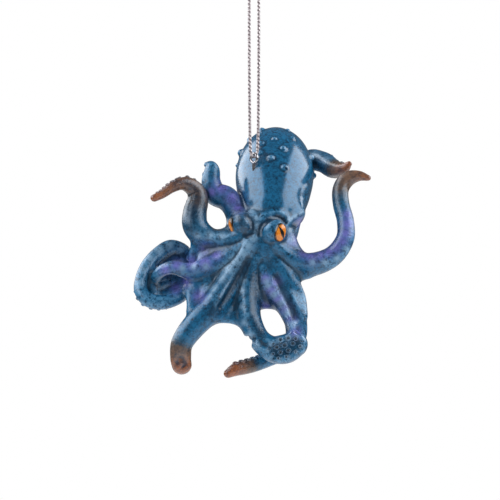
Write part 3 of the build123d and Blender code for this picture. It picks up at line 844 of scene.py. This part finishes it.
def suckerPoints():
    spots, aims, sizes = [], [], []
    for arm in arms.values():
        travel = suckers["from"] * arm["length"]
        while travel < arm.get("suckersTo", suckers["to"]) * arm["length"]:
            share = travel / arm["length"]
            radius = np.interp(share, arm["share"], arm["radius"])

            def at(key):
                return np.array([np.interp(share, arm["share"], arm[key][:, axis]) for axis in range(3)])

            centre, under, across = at("line"), unit(at("under")), unit(at("across"))
            for way in (-1, 1):
                angle = math.radians(suckers["spread"]) * way
                heading = unit(under * math.cos(angle) + across * math.sin(angle))
                ray = centre + np.arange(*suckers["rays"])[:, None] * radius * heading
                outside = sampleGrid(field, ray) > 0
                if outside.any():
                    hit = ray[np.argmax(outside)]
                    if sampleGrid(field, (hit + heading * suckers["lift"])[None])[0] > suckers["clear"]:
                        spots.append(hit)
                        aims.append(unit(slopeAt(field, hit[None])[0]))
                        sizes.append(radius * suckers["size"])
            travel += max(radius * suckers["pitch"], suckers["closest"])
    for column, row, size in suckers["openFace"]:
        spots.append(onSkin(column, row, 0))
        aims.append(unit(slopeAt(field, spots[-1][None])[0]))
        sizes.append(size * suckers["faceScale"])
    return np.array(spots), np.array(aims), np.array(sizes)


def suckerCup():
    sides, profile = suckers["sides"], suckers["profile"]
    angles = [2 * math.pi * turn / sides for turn in range(sides)]
    points = [(radius * math.cos(angle), radius * math.sin(angle), height)
              for radius, height in profile for angle in angles]
    points += [(0, 0, suckers["floor"]), (0, 0, profile[0][1])]
    last = (len(profile) - 1) * sides
    faces = []
    for turn in range(sides):
        after = (turn + 1) % sides
        for ring in range(0, last, sides):
            faces.append([ring + turn, ring + after, ring + sides + after, ring + sides + turn])
        faces.append([last + turn, last + after, len(points) - 2])
        faces.append([after, turn, len(points) - 1])
    cup = meshFrom("suckerCup", points, faces, suckerMaterial)
    # the well layer marks each cup's floor for its painted shade
    setLayers(cup, {"wellShade": [float(math.hypot(x, y) < suckers["wellRadius"]) for x, y, height in points]})
    return cup


def groupInput(tree, name, kind, value=None):
    socket = tree.interface.new_socket(name=name, in_out="INPUT", socket_type=kind)
    if value is not None:
        socket.default_value = value
    return socket.identifier


def newTree(name):
    tree = bpy.data.node_groups.new(name, "GeometryNodeTree")
    tree.interface.new_socket(name="Geometry", in_out="INPUT", socket_type="NodeSocketGeometry")
    tree.interface.new_socket(name="Geometry", in_out="OUTPUT", socket_type="NodeSocketGeometry")
    return tree, tree.nodes.new("NodeGroupInput"), tree.nodes.new("NodeGroupOutput")


def dress(tree, start, end, geometry, paintName):
    real = addNode(tree, "GeometryNodeRealizeInstances", {"Geometry": geometry}).outputs[0]
    inputs = {"Geometry": real, "Material": start.outputs[paintName]}
    tree.links.new(addNode(tree, "GeometryNodeSetMaterial", inputs).outputs[0], end.inputs["Geometry"])


def bakeTree(piece, tree, values, name):
    modifier = piece.modifiers.new("nodes", "NODES")
    modifier.node_group = tree
    for identifier, value in values.items():
        modifier[identifier] = value
    done = piece.evaluated_get(bpy.context.evaluated_depsgraph_get())
    mesh = bpy.data.meshes.new_from_object(done)
    mesh.name = name
    piece.modifiers.remove(modifier)
    bpy.data.objects.remove(piece)
    return addObject(name, mesh)


def makeSuckers():
    spots, aims, sizes = suckerPoints()
    seeds = meshFrom("suckerSeeds", spots * metre, [], suckerMaterial)
    layers = paintLayers(spots, field)
    # the suckers keep less of the wash's painted crease shade
    layers["washAndShade"] *= suckers["washAndShadeShare"]
    setLayers(seeds, {"aim": aims, "size": sizes * metre, **layers})
    cup = suckerCup()
    tree, start, end = newTree("suckerRows")
    cupKey = groupInput(tree, "Cup", "NodeSocketObject")
    scaleKey = groupInput(tree, "Cup Scale", "NodeSocketFloat", 1.0)
    paintKey = groupInput(tree, "Paint", "NodeSocketMaterial")

    def named(name, kind):
        node = addNode(tree, "GeometryNodeInputNamedAttribute", {"Name": name}, data_type=kind)
        return node.outputs["Attribute"]

    shape = addNode(tree, "GeometryNodeObjectInfo", {"Object": start.outputs["Cup"]}).outputs["Geometry"]
    aim = named("aim", "FLOAT_VECTOR")
    turn = addNode(tree, "FunctionNodeAlignRotationToVector", {"Vector": aim}, axis="Z").outputs[0]
    scale = maths(tree, "MULTIPLY", named("size", "FLOAT"), start.outputs["Cup Scale"])
    points = addNode(tree, "GeometryNodeMeshToPoints", {"Mesh": start.outputs["Geometry"]}).outputs[0]
    rows = addNode(tree, "GeometryNodeInstanceOnPoints",
                   {"Points": points, "Instance": shape, "Rotation": turn, "Scale": scale}).outputs[0]
    dress(tree, start, end, rows, "Paint")
    made = bakeTree(seeds, tree, {cupKey: cup, scaleKey: 1.0, paintKey: suckerMaterial}, "sucker_rows")
    bpy.data.objects.remove(cup)
    print("suckers set", len(spots))
    return made


suckerRows = makeSuckers()


# Eyes: an oval dome on each mound, with a map that its slit is drawn on
eyes = {
    "right_eye": {"mound": "rightMound", "turn": 34.0, "roll": 8.0, "dip": 9.0},
    "left_eye": {"mound": "leftMound", "turn": -90.0, "roll": 12.0, "dip": 16.0},
    "width": 4.4, "height": 6.5, "thickness": 2.0, "proud": 0.9, "fullness": 0.75, "rings": 12, "sides": 40,
}


def makeEye(name):
    settings = eyes[name]
    mound = body[settings["mound"]]
    turn, roll = math.radians(settings["turn"]), math.radians(-settings["roll"])
    dip = math.radians(settings["dip"])
    right = np.array([math.cos(turn), math.sin(turn), 0])
    gaze = np.array([math.sin(turn) * math.cos(dip), -math.cos(turn) * math.cos(dip), -math.sin(dip)])
    up = np.cross(gaze, right)
    right, up = right * math.cos(roll) + up * math.sin(roll), up * math.cos(roll) - right * math.sin(roll)
    centre = place(*mound[:3]) + gaze * (mound[3] + eyes["proud"] - eyes["thickness"])
    rings, sides = eyes["rings"], eyes["sides"]
    points, charts, faces = [centre + gaze * eyes["thickness"]], [(0.5, 0.5)], []
    for ring in range(1, rings + 1):
        tilt = math.pi / 2 * ring / rings
        for side in range(sides):
            angle = 2 * math.pi * side / sides
            across, rise = math.cos(angle) * math.sin(tilt), math.sin(angle) * math.sin(tilt)
            lift = eyes["thickness"] * math.cos(tilt) ** eyes["fullness"]
            flat = right * across * eyes["width"] / 2 + up * rise * eyes["height"] / 2
            points.append(centre + flat + gaze * lift)
            charts.append((0.5 + across / 2, 0.5 + rise / 2))
    for side in range(sides):
        after = (side + 1) % sides
        faces.append([0, 1 + side, 1 + after])
        for ring in range(rings - 1):
            one, two = 1 + ring * sides, 1 + (ring + 1) * sides
            faces.append([one + side, two + side, two + after, one + after])
    faces.append([1 + (rings - 1) * sides + side for side in reversed(range(sides))])
    eye = meshFrom(name + "_dome", np.array(points) * metre, faces, eyeMaterial)
    chart = eye.data.uv_layers.new(name="dome")
    for loop in eye.data.loops:
        chart.data[loop.index].uv = charts[loop.vertex_index]
    return eye


rightEye, leftEye = makeEye("right_eye"), makeEye("left_eye")
print("eyes made")


# Cord: the loop's route from the knot down, round the pin's ring and back, in mm along the ring's axis and up
cord = {
    "route": [(0.65, 1.2), (0.65, 0), (2.3, -3.0), (2.0, -64.9), (1.1, -69.0),
              (-1.1, -69.0), (-2.0, -64.9), (-2.3, -3.0), (-0.65, 0), (-0.65, 1.2)],
    "yaw": 42.0, "diameter": 1.0, "length": 142.8, "lobes": 2, "waist": 0.43, "pitch": 3.0, "spacing": 0.12,
    "sides": 12, "smoothness": 48,
}
swing = np.array([math.cos(math.radians(cord["yaw"])), math.sin(math.radians(cord["yaw"])), 0])


def routeCurve(name, points):
    data = bpy.data.curves.new(name, "CURVE")
    data.dimensions = "3D"
    data.resolution_u = cord["smoothness"]
    spline = data.splines.new("NURBS")
    spline.points.add(len(points) - 1)
    for point, spot in zip(spline.points, points):
        point.co = (*spot, 1)
    spline.order_u = 3
    spline.use_endpoint_u = True
    return addObject(name, data)


def readRoute(curve):
    mesh = bpy.data.meshes.new_from_object(curve.evaluated_get(bpy.context.evaluated_depsgraph_get()))
    return np.array([vertex.co for vertex in mesh.vertices])


def braidTree():
    tree, start, end = newTree("braid")
    keys = {"Lobe": groupInput(tree, "Lobe", "NodeSocketObject"),
            "Pitch": groupInput(tree, "Pitch", "NodeSocketFloat", cord["pitch"] * metre),
            "Spacing": groupInput(tree, "Spacing", "NodeSocketFloat", cord["spacing"] * metre),
            "Thread": groupInput(tree, "Thread", "NodeSocketMaterial")}
    lobe = addNode(tree, "GeometryNodeObjectInfo", {"Object": start.outputs["Lobe"]}).outputs["Geometry"]
    route = {"Curve": start.outputs["Geometry"], "Length": start.outputs["Spacing"]}
    even = addNode(tree, "GeometryNodeResampleCurve", route, mode="LENGTH").outputs[0]
    along = addNode(tree, "GeometryNodeSplineParameter").outputs["Length"]
    turns = maths(tree, "DIVIDE", along, start.outputs["Pitch"])
    strands = tree.nodes.new("GeometryNodeJoinGeometry")
    for way in (-2 * math.pi, 2 * math.pi):
        twist = maths(tree, "MULTIPLY", turns, way)
        tilted = addNode(tree, "GeometryNodeSetCurveTilt", {"Curve": even, "Tilt": twist}).outputs[0]
        tube = addNode(tree, "GeometryNodeCurveToMesh",
                       {"Curve": tilted, "Profile Curve": lobe, "Fill Caps": True})
        tree.links.new(tube.outputs["Mesh"], strands.inputs[0])
    soft = addNode(tree, "GeometryNodeSetShadeSmooth", {"Geometry": strands.outputs["Geometry"]}).outputs[0]
    dress(tree, start, end, soft, "Thread")
    return tree, keys


def lobeProfile():
    data = bpy.data.curves.new("braidLobe", "CURVE")
    spline = data.splines.new("POLY")
    spline.points.add(cord["sides"] - 1)
    spline.use_cyclic_u = True
    for index, point in enumerate(spline.points):
        angle = 2 * math.pi * index / cord["sides"]
        wide = (1 + math.cos(cord["lobes"] * angle)) / 2
        radius = cord["diameter"] * metre * (cord["waist"] + (0.5 - cord["waist"]) * wide)
        point.co = (radius * math.cos(angle), radius * math.sin(angle), 0, 1)
    return addObject("braidLobe", data)


braid, braidKeys = braidTree()
lobe = lobeProfile()


def makeBraid(name, curve):
    values = {"Lobe": lobe, "Pitch": cord["pitch"] * metre, "Spacing": cord["spacing"] * metre,
              "Thread": cordMaterial}
    return bakeTree(curve, braid, {braidKeys[key]: value for key, value in values.items()}, name)


cordSpots = [(swing * across + np.array([0, 0, up])) * metre for across, up in cord["route"]]
cordRoute = routeCurve("cordRoute", cordSpots)
cordPath = readRoute(cordRoute)
cordPiece = makeBraid("cord_braid", cordRoute)
print("cord braided", len(cordPath), "route points")

# Knot: three wraps of the same braid round the two ends, which stand up as tails. A tail row is out and up.
knot = {"turns": 3.1, "wrapRadius": 1.2, "low": 1.7, "high": 4.65, "perTurn": 26,
        "tailLean": 16.0, "tailSpread": 0.65,
        "tailRows": [(0, 1.3), (0, 3.2), (0, 4.7), (3.15, 7.85), (6.51, 11.0)]}


def makeKnot():
    steps = int(knot["turns"] * knot["perTurn"])
    angles = np.linspace(0, 2 * math.pi * knot["turns"], steps + 1)
    heights = np.linspace(knot["low"], knot["high"], steps + 1)
    wraps = np.stack([np.cos(angles) * knot["wrapRadius"], np.sin(angles) * knot["wrapRadius"], heights], 1)
    parts = [makeBraid("knotWraps", routeCurve("knotWraps", wraps * metre))]
    slope = math.tan(math.radians(knot["tailLean"]))
    for way in (-1, 1):
        line = [(swing * way * (knot["tailSpread"] + slope * out) + np.array([0, 0, up])) * metre
                for out, up in knot["tailRows"]]
        parts.append(makeBraid("knotTail", routeCurve("knotTail", line)))
    points, faces = [], []
    for part in parts:
        base = len(points)
        points += [vertex.co[:] for vertex in part.data.vertices]
        faces += [[base + index for index in polygon.vertices] for polygon in part.data.polygons]
        bpy.data.objects.remove(part)
    return meshFrom("knot_wraps", points, faces, cordMaterial)


knotPiece = makeKnot()
bpy.data.objects.remove(lobe)
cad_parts["eye_pin"].data.materials.clear()
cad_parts["eye_pin"].data.materials.append(pinMaterial)
print("knot tied, pin finished")

# Each piece on its body
for piece in (octopusSkin, suckerRows, rightEye, leftEye):
    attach(piece, "octopus")
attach(cordPiece, "loop")
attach(knotPiece, "hanger")
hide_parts("body_casting", *arms)
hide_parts("right_eye")
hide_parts("left_eye")
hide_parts("cord_loop")
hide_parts("cord_knot")

# Studio: a pale floor well below, white behind, a softbox each side and a dim fill from the front
studio = {
    "floorHeight": -0.32, "floorSize": 0.55, "ambient": 0.36, "glossy": 0.12, "white": (1, 1, 1, 1),
    "floorTones": (paint(236, 236, 236), paint(244, 244, 244)), "floorRoughness": 0.7, "dust": (40.0, 3.0),
    "panels": [("leftPanel", (-0.62, 0.22, 0.47), (0.0, 0.22, 0.47), (1.54, 0.86), 12.6),
               ("rightPanel", (0.62, 0.0, 0.40), (0.0, 0.0, 0.40), (1.15, 0.75), 8.6),
               ("frontFill", (0.1, -1.3, -0.1), (0.0, 0.0, -0.1), (0.9, 0.9), 2.0)],
}


def setStudio():
    for name, spot, aim, size, power in studio["panels"]:
        data = bpy.data.lights.new(name, "AREA")
        data.shape = "RECTANGLE"
        data.size, data.size_y = size
        data.energy = power
        lamp = addObject(name, data)
        lamp.location = spot
        lamp.rotation_euler = (Vector(aim) - Vector(spot)).to_track_quat("-Z", "Y").to_euler()
        lamp.visible_glossy = name != "frontFill"
    world = bpy.data.worlds.new("studioWorld")
    scene.world = world
    world.use_nodes = True
    tree = world.node_tree
    rays = addNode(tree, "ShaderNodeLightPath").outputs
    seen = maths(tree, "MAXIMUM", rays["Is Camera Ray"], rays["Is Transmission Ray"])
    shine = maths(tree, "MULTIPLY", rays["Is Glossy Ray"], studio["glossy"] - studio["ambient"])
    level = maths(tree, "MULTIPLY_ADD", seen, 1 - studio["ambient"], studio["ambient"])
    strength = maths(tree, "ADD", level, shine)
    feed(tree, tree.nodes["Background"], {"Color": studio["white"], "Strength": strength})
    material, floorTree, shader = newMaterial("paleFloor")
    dust = noise(floorTree, addNode(floorTree, "ShaderNodeTexCoord").outputs["Object"], *studio["dust"])
    tone = mixColour(floorTree, dust, *studio["floorTones"])
    feed(floorTree, shader, {"Base Color": tone, "Roughness": studio["floorRoughness"]})
    half, height = studio["floorSize"], studio["floorHeight"]
    corners = [(-half, -half, height), (half, -half, height), (half, half, height), (-half, half, height)]
    meshFrom("pale_floor", corners, [[0, 1, 2, 3]], material, smooth=False)


setStudio()
print("studio lit")
